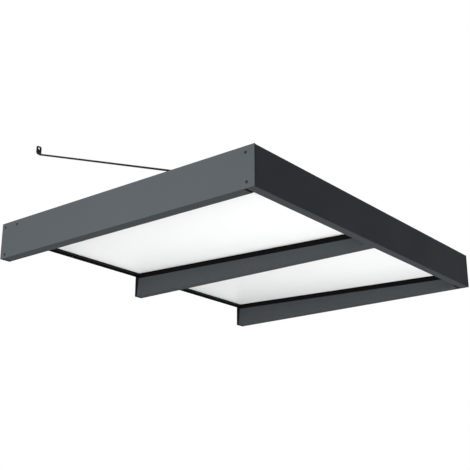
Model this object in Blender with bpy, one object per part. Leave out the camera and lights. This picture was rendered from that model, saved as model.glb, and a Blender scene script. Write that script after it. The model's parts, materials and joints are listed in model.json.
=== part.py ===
"""Door canopy: an aluminium frame with two milky panes, hung from the wall by two tie rods.

X runs along the wall, Y points into it with the wall's surface at Y = 0, and Z points up. The origin is the
middle of the wall rail's back face. Inside this file a place is given as (x, out, height): out is the
distance from the wall, and height is measured from the lower edge of the frame. One empty lowers it all.
"""
import math

import bmesh
import bpy
from mathutils import Vector

for old in list(bpy.data.objects):
    bpy.data.objects.remove(old, do_unlink=True)

# Driving dimensions in metres
WIDTH = 1.200
PROJECTION = 0.980
FRAME_HEIGHT = 0.113
SEAT_GAP = 0.0003

# Side plates
PLATE_THICKNESS = 0.0035
PLATE_EDGE = 0.0005

# Panes, whose slope is the drop for each metre from the wall
PANE_SLOPE_RATIO = 0.035
PANE_DROP_AT_WALL = 0.0252
PANE_THICKNESS = 0.005
PANE_WALL_CLEARANCE = 0.0015
PANE_SIDE_MARGIN = 0.010
PANE_MIDDLE_GAP = 0.009
PANE_FRONT_SETBACK = 0.057

# Rafters and the gaskets on them
RAFTER_WIDTH = 0.0325
RAFTER_WALL = 0.002
RAFTER_EDGE = 0.0008
GASKET_HEIGHT = 0.0175
SIDE_RAFTER_FRONT_GAP = 0.007

# Wall shoes at the rafters' wall ends
SHOE_OUT_BOTTOM = 0.0095
SHOE_OUT_TOP = 0.016
SHOE_TONGUE_REACH = 0.060
SHOE_TONGUE_HEIGHT = 0.032

# Front profile, which is fascia and gutter in one
FASCIA_SETBACK = 0.001
FASCIA_WALL = 0.0022
FASCIA_EDGE = 0.001
GUTTER_FLOOR = 0.027
TOP_FLANGE = 0.031
WEB_LEAN = 0.034
LEDGE_DEPTH = 0.020
FRONT_SEAL_HEIGHT = 0.0036
RIB_DEPTH = 0.004
RIB_HEIGHT = 0.022
RIB_RISE = 0.0053
FRONT_PORT_SIZE = 0.008

# Wall rail
RAIL_WALL = 0.003
RAIL_TOP_SETBACK = 0.0015
RAIL_UPSTAND = 0.005
RAIL_LIP_DROP = 0.0075
RAIL_LIP_THICKNESS = 0.0022
RAIL_LIP_DEPTH = 0.0187
RAIL_LEG_REACH = 0.078
RAIL_NOSE = 0.0035
LIP_SEAL_HEIGHT = 0.0038
RAIL_PORT_SIZE = 0.009
WALL_SEAL_HEIGHT = 0.0025
WALL_SCREW_HOLE_RADIUS = 0.003
WALL_SCREW_RISE = 0.0048
WALL_SCREW_END_MARGIN = 0.060
WALL_SCREW_COUNT = 4

# Cover bars over the pane edges
COVER_SEAL_HEIGHT = 0.0015
COVER_BAR_HEIGHT = 0.003
COVER_BAR_CLEARANCE = 0.002
COVER_SCREW_END_MARGIN = 0.040
COVER_SCREW_COUNT = 3

# Screws in the side plates
REAR_UPPER_SCREW_OUT = 0.015
REAR_LOWER_SCREW_OUT = 0.021
REAR_LOWER_SCREW_HEIGHT = 0.0114
FRONT_UPPER_SCREW_BACK = 0.027
FRONT_UPPER_SCREW_DROP = 0.0175
FRONT_LOWER_SCREW_BACK = 0.0235
FRONT_LOWER_SCREW_HEIGHT = 0.0163
SCREW_RADIUS = 0.0021
SCREW_CLEARANCE = 0.0003
SIDE_SCREW_LENGTH = 0.016
SIDE_HEAD_RADIUS = 0.004
SIDE_HEAD_DEPTH = 0.0022
COVER_SCREW_LENGTH = 0.033
BRACKET_SCREW_LENGTH = 0.0075
PAN_HEAD_RADIUS = 0.0034
PAN_HEAD_HEIGHT = 0.0024
SOCKET_RADIUS = 0.0017
SOCKET_DEPTH = 0.0013

# Tie rods, whose straight line meets the wall and the lug at the bend points
ROD_SIDE_MARGIN = 0.115
ROD_DIAMETER = 0.006
ROD_HEIGHT_AT_WALL = 0.3875
LUG_WIDTH = 0.020
LUG_THICKNESS = 0.004
LUG_EDGE = 0.001
LUG_CORNER = 0.005
LUG_TRANSITION = 0.012
LUG_END_MARGIN = 0.013
WALL_HOLE_RISE = 0.0205
WALL_HOLE_RADIUS = 0.004
WALL_LUG_END_MARGIN = 0.0075
UPPER_BEND_RADIUS = 0.009
LOWER_BEND_RADIUS = 0.020
LOWER_BEND_BACK = 0.0188
BOLT_BACK = 0.0425

# Rod brackets, bolts and nuts
BRACKET_WIDTH = 0.024
BRACKET_THICKNESS = 0.003
BRACKET_RISE = 0.0032
BRACKET_BACK_HEIGHT = 0.030
BRACKET_CLEARANCE = 0.002
BRACKET_EDGE = 0.0008
BOLT_RADIUS = 0.003
BOLT_CLEARANCE = 0.0003
BOLT_HEAD_ACROSS = 0.010
BOLT_HEAD_HEIGHT = 0.004
NUT_HEIGHT = 0.005
BOLT_TAIL = 0.002

ROUND_STEPS = 20
BEND_STEPS = 5
CORNER_STEPS = 4

# Places that follow from the dimensions
HALF_WIDTH = WIDTH / 2
INNER_HALF = HALF_WIDTH - PLATE_THICKNESS - SEAT_GAP
SIDE_RAFTER_X = INNER_HALF - RAFTER_WIDTH / 2
ROD_X = HALF_WIDTH - ROD_SIDE_MARGIN
RAFTER_PLACES = {"left": -SIDE_RAFTER_X, "middle": 0.0, "right": SIDE_RAFTER_X}
SIDES = {"left": -1, "right": 1}
SLOPE_ANGLE = math.atan(PANE_SLOPE_RATIO)
PANE_UNDERSIDE_AT_WALL = FRAME_HEIGHT - PANE_DROP_AT_WALL - PANE_THICKNESS
SCREW_HOLE_RADIUS = SCREW_RADIUS + SCREW_CLEARANCE


def level(value):
    """A height or a distance that is the same everywhere."""
    return lambda _: value


def pane_underside(out):
    return PANE_UNDERSIDE_AT_WALL - PANE_SLOPE_RATIO * out


def pane_top(out):
    return pane_underside(out) + PANE_THICKNESS


def rafter_top(out):
    return pane_underside(out) - GASKET_HEIGHT


def bar_underside(out):
    return pane_top(out) + 2 * SEAT_GAP + COVER_SEAL_HEIGHT


def bar_top(out):
    return bar_underside(out) + COVER_BAR_HEIGHT


# The front profile, from the fascia back to the ledge
FASCIA_OUT = PROJECTION - FASCIA_SETBACK
FASCIA_BACK = FASCIA_OUT - FASCIA_WALL
RIB_FACE = FASCIA_BACK - RIB_DEPTH
WEB_FOOT = FASCIA_OUT - GUTTER_FLOOR
WEB_HEAD = WEB_FOOT - WEB_LEAN
LEDGE_TOP = pane_underside(WEB_HEAD) - 2 * SEAT_GAP - FRONT_SEAL_HEIGHT
WEB_SLOPE = WEB_LEAN / (LEDGE_TOP - FASCIA_WALL)
LEDGE_END = WEB_HEAD - LEDGE_DEPTH
PANE_END = PROJECTION - PANE_FRONT_SETBACK

# The rod bracket's seat, the rib behind it and the line of the rod
BRACKET_START = PANE_END + BRACKET_CLEARANCE
BRACKET_SEAT = pane_top(PANE_END) + BRACKET_RISE
RIB_BOTTOM = BRACKET_SEAT + RIB_RISE
RIB_TOP = RIB_BOTTOM + RIB_HEIGHT
RIB_MIDDLE = (RIB_BOTTOM + RIB_TOP) / 2
LUG_HEIGHT = BRACKET_SEAT + SEAT_GAP + LUG_THICKNESS / 2
BOLT_OUT = FASCIA_OUT - BOLT_BACK
LOWER_BEND_OUT = BOLT_OUT - LOWER_BEND_BACK
ROD_FALL = (ROD_HEIGHT_AT_WALL - LUG_HEIGHT) / LOWER_BEND_OUT
ROD_ANGLE = math.atan(ROD_FALL)
WALL_HOLE_HEIGHT = ROD_HEIGHT_AT_WALL + WALL_HOLE_RISE
WALL_LUG_TOP = WALL_HOLE_HEIGHT + WALL_LUG_END_MARGIN

# The wall rail, which holds the panes below and carries the roof leg above
RAIL_TOP = FRAME_HEIGHT - RAIL_TOP_SETBACK
RAIL_LEG_TOP = RAIL_TOP - RAIL_UPSTAND
RAIL_LEG_BOTTOM = RAIL_LEG_TOP - RAIL_WALL
RAIL_LIP_BOTTOM = PANE_UNDERSIDE_AT_WALL - RAIL_LIP_DROP
RAIL_LIP_TOP = RAIL_LIP_BOTTOM + RAIL_LIP_THICKNESS
RAIL_MIDDLE = (RAIL_LIP_BOTTOM + RAIL_TOP) / 2
WALL_SEAL_BOTTOM = RAIL_LIP_BOTTOM - SEAT_GAP - WALL_SEAL_HEIGHT
RAIL_NOSE_BACK = RAIL_LEG_REACH - RAIL_NOSE
RAIL_NOSE_BOTTOM = pane_top(RAIL_LEG_REACH) + 2 * SEAT_GAP + LIP_SEAL_HEIGHT
COVER_START = RAIL_LEG_REACH + COVER_BAR_CLEARANCE

# Screws in the side plates, as (out, height)
SIDE_SCREWS = {
    "rear_upper": (REAR_UPPER_SCREW_OUT, RAIL_LEG_BOTTOM - RAIL_PORT_SIZE / 2),
    "rail_front": (RAIL_NOSE_BACK - RAIL_PORT_SIZE / 2, RAIL_LEG_BOTTOM - RAIL_PORT_SIZE / 2),
    "rear_lower": (REAR_LOWER_SCREW_OUT, REAR_LOWER_SCREW_HEIGHT),
    "front_upper": (FASCIA_OUT - FRONT_UPPER_SCREW_BACK, FRAME_HEIGHT - FRONT_UPPER_SCREW_DROP),
    "front_lower": (FASCIA_OUT - FRONT_LOWER_SCREW_BACK, FRONT_LOWER_SCREW_HEIGHT),
}

origin = bpy.data.objects.new("canopy_origin", None)
origin.location = (0.0, 0.0, -RAIL_MIDDLE)
bpy.context.scene.collection.objects.link(origin)


def web_out(height):
    """Distance from the wall of the gutter web's rear face at a height."""
    return WEB_FOOT - WEB_SLOPE * height


def shoe_out(height):
    """Distance from the wall of a wall shoe's slanted face at a height."""
    return SHOE_OUT_BOTTOM + (SHOE_OUT_TOP - SHOE_OUT_BOTTOM) * height / rafter_top(0.0)


def place(x, out, height):
    return Vector((x, -out, height))


def material(name, colour, roughness, metallic):
    made = bpy.data.materials.new(name)
    made.use_nodes = True
    shader = made.node_tree.nodes["Principled BSDF"]
    shader.inputs["Base Color"].default_value = (*colour, 1.0)
    shader.inputs["Roughness"].default_value = roughness
    shader.inputs["Metallic"].default_value = metallic
    return made


POWDER_COAT = material("anthracite_powder_coat", (0.045, 0.052, 0.056), 0.55, 0.0)
MILKY_PANE = material("milky_acrylic", (0.90, 0.91, 0.91), 0.25, 0.0)
BLACK_RUBBER = material("black_rubber", (0.008, 0.008, 0.009), 0.75, 0.0)
BLACK_PLASTIC = material("black_plastic", (0.010, 0.010, 0.011), 0.55, 0.0)
BLACK_STEEL = material("blackened_steel", (0.020, 0.021, 0.023), 0.45, 0.6)


def add_object(name, bm, finish, location=(0.0, 0.0, 0.0), rotation=(0.0, 0.0, 0.0), smooth=False):
    """Turns a finished bmesh into a named object under the shared origin."""
    bmesh.ops.recalc_face_normals(bm, faces=bm.faces)
    mesh = bpy.data.meshes.new(name)
    bm.to_mesh(mesh)
    bm.free()
    if finish:
        mesh.materials.append(finish)
    if smooth:
        mesh.shade_smooth()
        mesh.set_sharp_from_angle(angle=math.radians(35))
    made = bpy.data.objects.new(name, mesh)
    made.parent = origin
    made.location = location
    made.rotation_euler = rotation
    bpy.context.scene.collection.objects.link(made)
    return made


def combine(target, bm, operation="DIFFERENCE"):
    """Takes a helper shape out of an object, or joins it on, with a Boolean that stays on the object."""
    name = target.name + "_helper_" + str(len(target.modifiers) + 1)
    helper = add_object(name, bm, None, target.location, target.rotation_euler)
    helper.hide_render = True
    helper.display_type = "WIRE"
    boolean = target.modifiers.new(operation.lower(), "BOOLEAN")
    boolean.operation = operation
    boolean.solver = "EXACT"
    boolean.object = helper


def add_cylinder(bm, centre, axis, radius, length, steps=ROUND_STEPS):
    """Adds a closed cylinder with its middle at centre and its length along axis."""
    turn = Vector((0.0, 0.0, 1.0)).rotation_difference(Vector(axis)).to_matrix().to_4x4()
    shape = bmesh.ops.create_cone(bm, cap_ends=True, segments=steps, radius1=radius, radius2=radius,
                                  depth=length, matrix=turn)
    bmesh.ops.translate(bm, vec=centre, verts=shape["verts"])


def turned_shape(section, steps=ROUND_STEPS):
    """Spins a section of (radius, height) points, given from top to bottom, about Z."""
    bm = bmesh.new()
    corners = [bm.verts.new((radius, 0.0, height)) for radius, height in section]
    edges = [bm.edges.new(pair) for pair in zip(corners, corners[1:])]
    bmesh.ops.spin(bm, geom=corners + edges, cent=(0, 0, 0), axis=(0, 0, 1), dvec=(0, 0, 0),
                   angle=2 * math.pi, steps=steps, use_merge=True, use_duplicate=False)
    bmesh.ops.remove_doubles(bm, verts=bm.verts, dist=1e-6)
    return bm


def soften(bm, edges, width, segments=2):
    bmesh.ops.bevel(bm, geom=edges, offset=width, offset_type="OFFSET", segments=segments, profile=0.5,
                    affect="EDGES", material=-1)


def edges_along(bm, direction):
    wanted = Vector(direction)
    return [e for e in bm.edges
            if abs((e.verts[1].co - e.verts[0].co).normalized().dot(wanted)) > 0.99]


def profile_bar(outline, holes):
    """A bar between the side plates, with a section of (out, height) points and round holes."""
    bm = bmesh.new()
    rims = [outline]
    for out, height in holes:
        turns = [2 * math.pi * k / ROUND_STEPS for k in range(ROUND_STEPS)]
        rims.append([(out + SCREW_HOLE_RADIUS * math.cos(turn), height + SCREW_HOLE_RADIUS * math.sin(turn))
                     for turn in turns])
    edges = []
    for rim in rims:
        corners = [bm.verts.new(place(-INNER_HALF, out, height)) for out, height in rim]
        for corner, following in zip(corners, corners[1:] + corners[:1]):
            edges.append(bm.edges.new((corner, following)))
    bmesh.ops.triangle_fill(bm, edges=edges, use_beauty=True, use_dissolve=False)
    grown = bmesh.ops.extrude_face_region(bm, geom=list(bm.faces))
    moved = [part for part in grown["geom"] if isinstance(part, bmesh.types.BMVert)]
    bmesh.ops.translate(bm, vec=(2 * INNER_HALF, 0, 0), verts=moved)
    return bm


def box_between(x_start, x_end, start, end, bottom, top):
    """A box whose wall end, front end, underside and top may slope.

    start and end give the distance from the wall at a height, bottom and top the height at a distance.
    """
    bm = bmesh.new()
    bmesh.ops.create_cube(bm, size=1.0)
    for vert in bm.verts:
        x = x_start if vert.co.x < 0 else x_end
        end_face = start if vert.co.y > 0 else end
        long_face = bottom if vert.co.z < 0 else top
        height = long_face(end_face(0.0))
        for _ in range(4):
            out = end_face(height)
            height = long_face(out)
        vert.co = place(x, out, height)
    return bm


def make_side_plates():
    """Flat plates that close the ends of the wall rail, the outer rafters and the front profile."""
    for side, sign in SIDES.items():
        inner_x = sign * (HALF_WIDTH - PLATE_THICKNESS)
        outer_x = sign * HALF_WIDTH
        bm = box_between(min(inner_x, outer_x), max(inner_x, outer_x), level(SEAT_GAP), level(PROJECTION),
                         level(0.0), level(FRAME_HEIGHT))
        rim = [e for e in bm.edges if all(abs(v.co.x - outer_x) < 1e-6 for v in e.verts)]
        soften(bm, rim, PLATE_EDGE)
        plate = add_object("side_plate_" + side, bm, POWDER_COAT)
        for out, height in SIDE_SCREWS.values():
            combine(plate, countersink(sign, out, height))


def countersink(sign, out, height):
    """Helper shape of a screw hole with a cone for the screw's head."""
    mouth = SIDE_HEAD_RADIUS + SCREW_CLEARANCE
    depth = SIDE_HEAD_DEPTH + SCREW_CLEARANCE
    beyond = 0.001
    section = [(0.0, beyond), (mouth, beyond), (mouth, 0.0), (SCREW_HOLE_RADIUS, -depth),
               (SCREW_HOLE_RADIUS, -PLATE_THICKNESS - beyond), (0.0, -PLATE_THICKNESS - beyond)]
    bm = turned_shape(section)
    turn = Vector((0.0, 0.0, 1.0)).rotation_difference(Vector((sign, 0.0, 0.0))).to_matrix()
    bmesh.ops.rotate(bm, matrix=turn, verts=bm.verts)
    bmesh.ops.translate(bm, vec=place(sign * HALF_WIDTH, out, height), verts=bm.verts)
    return bm


def add_screw(name, bm, head_top, location, rotation):
    """A screw along its own Z, with a hexagonal key recess in its head."""
    screw = add_object(name, bm, BLACK_STEEL, location, rotation, smooth=True)
    recess = bmesh.new()
    add_cylinder(recess, (0.0, 0.0, head_top), (0.0, 0.0, 1.0), SOCKET_RADIUS, 2 * SOCKET_DEPTH, steps=6)
    combine(screw, recess)


def pan_screw(length):
    return turned_shape([
        (0.0, PAN_HEAD_HEIGHT), (PAN_HEAD_RADIUS * 0.7, PAN_HEAD_HEIGHT),
        (PAN_HEAD_RADIUS, PAN_HEAD_HEIGHT / 2), (PAN_HEAD_RADIUS, 0.0), (SCREW_RADIUS, 0.0),
        (SCREW_RADIUS, SCREW_RADIUS - length), (0.0, -length)])


def make_side_screws():
    """Countersunk screws, flush with the side plates."""
    for side, sign in SIDES.items():
        for label, (out, height) in SIDE_SCREWS.items():
            bm = turned_shape([
                (0.0, 0.0), (SIDE_HEAD_RADIUS, 0.0), (SCREW_RADIUS, -SIDE_HEAD_DEPTH),
                (SCREW_RADIUS, SCREW_RADIUS - SIDE_SCREW_LENGTH), (0.0, -SIDE_SCREW_LENGTH)])
            add_screw("side_screw_" + label + "_" + side, bm, 0.0, place(sign * HALF_WIDTH, out, height),
                      (0.0, sign * math.pi / 2, 0.0))


def make_front_profile():
    """Fascia and gutter in one bar, with two screw ports and a rib that takes the rod brackets."""
    half = FRONT_PORT_SIZE / 2
    upper_out, upper_height = SIDE_SCREWS["front_upper"]
    lower_out, lower_height = SIDE_SCREWS["front_lower"]
    under_flange = FRAME_HEIGHT - FASCIA_WALL
    web_front_foot = WEB_FOOT + FASCIA_WALL * math.sqrt(1 + WEB_SLOPE * WEB_SLOPE)
    port_foot = (web_front_foot - lower_out + half) / WEB_SLOPE
    outline = [
        (WEB_FOOT, 0.0), (FASCIA_OUT, 0.0), (FASCIA_OUT, FRAME_HEIGHT),
        (FASCIA_OUT - TOP_FLANGE, FRAME_HEIGHT), (FASCIA_OUT - TOP_FLANGE, upper_height - half),
        (upper_out + half, upper_height - half), (upper_out + half, under_flange),
        (FASCIA_BACK, under_flange), (FASCIA_BACK, RIB_TOP), (RIB_FACE, RIB_TOP), (RIB_FACE, RIB_BOTTOM),
        (FASCIA_BACK, RIB_BOTTOM), (FASCIA_BACK, FASCIA_WALL), (lower_out + half, FASCIA_WALL),
        (lower_out + half, lower_height + half), (lower_out - half, lower_height + half),
        (lower_out - half, port_foot), (web_front_foot - WEB_SLOPE * LEDGE_TOP, LEDGE_TOP),
        (LEDGE_END, LEDGE_TOP), (LEDGE_END, LEDGE_TOP - FASCIA_WALL), (WEB_HEAD, LEDGE_TOP - FASCIA_WALL)]
    bm = profile_bar(outline, [SIDE_SCREWS["front_upper"], SIDE_SCREWS["front_lower"]])
    corners = [e for e in edges_along(bm, (1, 0, 0)) if all(abs(v.co.y + FASCIA_OUT) < 1e-6 for v in e.verts)]
    soften(bm, corners, FASCIA_EDGE)
    front = add_object("front_profile", bm, POWDER_COAT)
    hole_depth = BRACKET_SCREW_LENGTH - BRACKET_THICKNESS + SEAT_GAP
    pilots = bmesh.new()
    for sign in SIDES.values():
        add_cylinder(pilots, place(sign * ROD_X, RIB_FACE, RIB_MIDDLE), (0, 1, 0), SCREW_HOLE_RADIUS,
                     2 * hole_depth)
    combine(front, pilots)


def make_wall_rail():
    """Rail on the wall: a lip under the panes, a leg over them with two screw ports, and wall screw holes.

    Rubber strips lie on the lip, under it against the wall, and under the leg's nose.
    """
    half = RAIL_PORT_SIZE / 2
    port_bottom = RAIL_LEG_BOTTOM - RAIL_PORT_SIZE
    rear_out = SIDE_SCREWS["rear_upper"][0]
    front_out = SIDE_SCREWS["rail_front"][0]
    outline = [
        (0.0, RAIL_LIP_BOTTOM), (RAIL_LIP_DEPTH, RAIL_LIP_BOTTOM), (RAIL_LIP_DEPTH, RAIL_LIP_TOP),
        (RAIL_WALL, RAIL_LIP_TOP), (RAIL_WALL, RAIL_LEG_BOTTOM), (rear_out - half, RAIL_LEG_BOTTOM),
        (rear_out - half, port_bottom), (rear_out + half, port_bottom), (rear_out + half, RAIL_LEG_BOTTOM),
        (front_out - half, RAIL_LEG_BOTTOM), (front_out - half, port_bottom), (RAIL_NOSE_BACK, port_bottom),
        (RAIL_NOSE_BACK, RAIL_NOSE_BOTTOM), (RAIL_LEG_REACH, RAIL_NOSE_BOTTOM),
        (RAIL_LEG_REACH, RAIL_LEG_TOP), (RAIL_WALL, RAIL_LEG_TOP), (RAIL_WALL, RAIL_TOP), (0.0, RAIL_TOP)]
    bm = profile_bar(outline, [SIDE_SCREWS["rear_upper"], SIDE_SCREWS["rail_front"]])
    rail = add_object("wall_rail", bm, POWDER_COAT)
    wall_holes = bmesh.new()
    last_x = HALF_WIDTH - WALL_SCREW_END_MARGIN
    height = pane_top(0.0) + WALL_SCREW_RISE
    for k in range(WALL_SCREW_COUNT):
        x = last_x * (2 * k / (WALL_SCREW_COUNT - 1) - 1)
        add_cylinder(wall_holes, place(x, 0.0, height), (0, 1, 0), WALL_SCREW_HOLE_RADIUS, 4 * RAIL_WALL)
    combine(rail, wall_holes)

    pane_seal = box_between(-INNER_HALF, INNER_HALF, level(RAIL_WALL + SEAT_GAP), level(RAIL_LIP_DEPTH),
                            level(RAIL_LIP_TOP + SEAT_GAP), lambda out: pane_underside(out) - SEAT_GAP)
    add_object("rail_pane_seal", pane_seal, BLACK_RUBBER)
    wall_seal = box_between(-INNER_HALF, INNER_HALF, level(0.0), level(RAIL_LIP_DEPTH),
                            level(WALL_SEAL_BOTTOM), level(RAIL_LIP_BOTTOM - SEAT_GAP))
    add_object("rail_wall_seal", wall_seal, BLACK_RUBBER)

    lip_seal = box_between(-INNER_HALF, INNER_HALF, level(RAIL_NOSE_BACK), level(RAIL_LEG_REACH),
                           lambda out: pane_top(out) + SEAT_GAP, level(RAIL_NOSE_BOTTOM - SEAT_GAP))
    add_object("rail_lip_seal", lip_seal, BLACK_RUBBER)


def make_rafters():
    """Box sections with a level underside and a top that follows the fall of the panes."""
    half = RAFTER_WIDTH / 2
    inner_half = half - RAFTER_WALL
    for name, centre in RAFTER_PLACES.items():
        front_gap = SEAT_GAP if name == "middle" else SIDE_RAFTER_FRONT_GAP
        bm = box_between(centre - half, centre + half, lambda height: shoe_out(height) + SEAT_GAP,
                         lambda height: web_out(height) - front_gap, level(0.0), rafter_top)
        soften(bm, edges_along(bm, (0, 1, 0)), RAFTER_EDGE)
        rafter = add_object("rafter_" + name, bm, POWDER_COAT)
        combine(rafter, box_between(centre - inner_half, centre + inner_half, level(0.0), level(PROJECTION),
                                    level(RAFTER_WALL), lambda out: rafter_top(out) - RAFTER_WALL))
        holes = cover_screw_holes(name, lambda out: rafter_top(out) - RAFTER_WALL / 2, RAFTER_WALL)
        if name in SIDES:
            add_cylinder(holes, place(SIDES[name] * INNER_HALF, *SIDE_SCREWS["rear_lower"]), (1, 0, 0),
                         SCREW_HOLE_RADIUS, 4 * RAFTER_WALL)
        combine(rafter, holes)

        gasket = box_between(centre - half, centre + half, level(RAIL_LIP_DEPTH + SEAT_GAP),
                             level(LEDGE_END - SEAT_GAP), lambda out: rafter_top(out) + SEAT_GAP,
                             lambda out: pane_underside(out) - SEAT_GAP)
        gasket_object = add_object("rafter_gasket_" + name, gasket, BLACK_RUBBER)
        combine(gasket_object,
                cover_screw_holes(name, lambda out: rafter_top(out) + GASKET_HEIGHT / 2, GASKET_HEIGHT))


def make_wall_shoes():
    """Black shoes: a slanted block against the wall, with a tongue inside the rafter."""
    half = RAFTER_WIDTH / 2
    tongue_half = half - RAFTER_WALL - SEAT_GAP
    tongue_bottom = RAFTER_WALL + SEAT_GAP
    for name, centre in RAFTER_PLACES.items():
        bm = box_between(centre - half, centre + half, level(0.0), shoe_out, level(0.0),
                         level(WALL_SEAL_BOTTOM - SEAT_GAP))
        shoe = add_object("wall_shoe_" + name, bm, BLACK_PLASTIC)
        combine(shoe, box_between(centre - tongue_half, centre + tongue_half, level(SHOE_OUT_BOTTOM / 2),
                                  level(SHOE_TONGUE_REACH), level(tongue_bottom),
                                  level(tongue_bottom + SHOE_TONGUE_HEIGHT)), "UNION")
        if name in SIDES:
            hole = bmesh.new()
            add_cylinder(hole, place(centre, *SIDE_SCREWS["rear_lower"]), (1, 0, 0), SCREW_HOLE_RADIUS,
                         2 * RAFTER_WIDTH)
            combine(shoe, hole)


def make_panes():
    """Two flat panes, and the seal that carries their front edges on the gutter's ledge."""
    inner = PANE_MIDDLE_GAP / 2
    outer = INNER_HALF - PANE_SIDE_MARGIN
    for side, sign in SIDES.items():
        edges_x = sorted((sign * inner, sign * outer))
        bm = box_between(*edges_x, level(RAIL_WALL + PANE_WALL_CLEARANCE), level(PANE_END), pane_underside,
                         pane_top)
        soften(bm, bm.edges[:], PLATE_EDGE)
        add_object("pane_" + side, bm, MILKY_PANE)
    seal = box_between(-INNER_HALF, INNER_HALF, level(LEDGE_END), level(WEB_HEAD),
                       level(LEDGE_TOP + SEAT_GAP), lambda out: pane_underside(out) - SEAT_GAP)
    add_object("front_pane_seal", seal, BLACK_RUBBER)


def cover_screw_places(name):
    """Screws stand in the gap beside a pane's edge, so the panes stay whole."""
    x = 0.0
    if name in SIDES:
        x = SIDES[name] * (INNER_HALF - PANE_SIDE_MARGIN / 2)
    first = COVER_START + COVER_SCREW_END_MARGIN
    step = (PANE_END - COVER_SCREW_END_MARGIN - first) / (COVER_SCREW_COUNT - 1)
    return [(x, first + k * step) for k in range(COVER_SCREW_COUNT)]


def cover_screw_holes(name, layer_middle, layer_thickness):
    """Helper shapes of the screw holes through one layer, square to the panes."""
    axis = Vector((0.0, -math.sin(SLOPE_ANGLE), math.cos(SLOPE_ANGLE)))
    bm = bmesh.new()
    for x, out in cover_screw_places(name):
        drop = (bar_top(out) - layer_middle(out)) / axis.z
        add_cylinder(bm, place(x, out, bar_top(out)) - axis * drop, axis, SCREW_HOLE_RADIUS,
                     layer_thickness + 0.004)
    return bm


def make_cover_bars():
    """Clamping bars over the pane edges, each on a thin rubber strip and held by screws."""
    half = RAFTER_WIDTH / 2
    for name, centre in RAFTER_PLACES.items():
        seal = box_between(centre - half, centre + half, level(COVER_START), level(PANE_END),
                           lambda out: pane_top(out) + SEAT_GAP, lambda out: bar_underside(out) - SEAT_GAP)
        seal_object = add_object("cover_seal_" + name, seal, BLACK_RUBBER)
        combine(seal_object, cover_screw_holes(
            name, lambda out: pane_top(out) + COVER_SEAL_HEIGHT / 2, COVER_SEAL_HEIGHT))
        bar = box_between(centre - half, centre + half, level(COVER_START), level(PANE_END),
                          bar_underside, bar_top)
        soften(bar, edges_along(bar, (0, 1, 0)), PLATE_EDGE)
        bar_object = add_object("cover_bar_" + name, bar, POWDER_COAT)
        combine(bar_object, cover_screw_holes(
            name, lambda out: bar_top(out) - COVER_BAR_HEIGHT / 2, COVER_BAR_HEIGHT))
        for number, (x, out) in enumerate(cover_screw_places(name), start=1):
            add_screw("cover_screw_" + name + "_" + str(number), pan_screw(COVER_SCREW_LENGTH),
                      PAN_HEAD_HEIGHT, place(x, out, bar_top(out) + SEAT_GAP), (SLOPE_ANGLE, 0.0, 0.0))


def lug_end(out, height, heading, direction):
    """Stations of a lug's rounded end, as its width grows from the end over one corner radius."""
    stations = []
    for k in range(CORNER_STEPS):
        turn = math.pi / 2 * k / (CORNER_STEPS - 1)
        along = LUG_CORNER * (1 - math.cos(turn))
        trim = LUG_CORNER * (1 - math.sin(turn))
        stations.append((out + direction[0] * along, height + direction[1] * along, heading, 1.0, trim))
    return stations


def rod_stations():
    """Stations of a tie rod in its own plane, from the wall to its free end.

    Each has (out, height, heading, flatness, trim): heading is the angle below level, flatness is 1 in a lug
    and 0 in the round rod, and trim is what a rounded corner takes off each side of the lug.
    """
    along_out = math.cos(ROD_ANGLE)
    along_height = -math.sin(ROD_ANGLE)
    wall_out = LUG_THICKNESS / 2
    upper_turn = math.pi / 2 - ROD_ANGLE
    bend_top = ROD_HEIGHT_AT_WALL - ROD_FALL * wall_out + UPPER_BEND_RADIUS * math.tan(upper_turn / 2)
    stations = lug_end(wall_out, WALL_LUG_TOP, math.pi / 2, (0.0, -1.0))
    for k in range(BEND_STEPS + 1):
        turned = upper_turn * k / BEND_STEPS
        out = wall_out + UPPER_BEND_RADIUS * (1 - math.cos(turned))
        height = bend_top - UPPER_BEND_RADIUS * math.sin(turned)
        stations.append((out, height, math.pi / 2 - turned, 1.0 - 0.5 * k / BEND_STEPS, 0.0))
    out, height = stations[-1][:2]
    stations.append((out + LUG_TRANSITION * along_out, height + LUG_TRANSITION * along_height, ROD_ANGLE,
                     0.0, 0.0))

    tangent = LOWER_BEND_RADIUS * math.tan(ROD_ANGLE / 2)
    reach = tangent + LUG_TRANSITION
    stations.append((LOWER_BEND_OUT - reach * along_out, LUG_HEIGHT - reach * along_height, ROD_ANGLE,
                     0.0, 0.0))
    for k in range(3):
        heading = ROD_ANGLE * (2 - k) / 2
        out = LOWER_BEND_OUT + tangent - LOWER_BEND_RADIUS * math.sin(heading)
        height = LUG_HEIGHT + LOWER_BEND_RADIUS * (1 - math.cos(heading))
        stations.append((out, height, heading, 0.6 + 0.2 * k, 0.0))
    stations += reversed(lug_end(BOLT_OUT + LUG_END_MARGIN, LUG_HEIGHT, 0.0, (-1.0, 0.0)))
    return stations


def section_ring(bm, centre, across, width, thickness, corner):
    """Edges of a rounded rectangle whose width runs along X and whose thickness runs along across."""
    inset = corner * math.sin(7 * math.pi / 16)
    ring = []
    for quarter, (side_x, side_across) in enumerate(((1, 1), (-1, 1), (-1, -1), (1, -1))):
        for k in range(CORNER_STEPS):
            turn = quarter * math.pi / 2 + (k + 0.5) * math.pi / 8
            x = side_x * (width / 2 - inset) + corner * math.cos(turn)
            up = side_across * (thickness / 2 - inset) + corner * math.sin(turn)
            ring.append(bm.verts.new(centre + Vector((x, 0.0, 0.0)) + across * up))
    return [bm.edges.new(pair) for pair in zip(ring, ring[1:] + ring[:1])]


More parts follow.
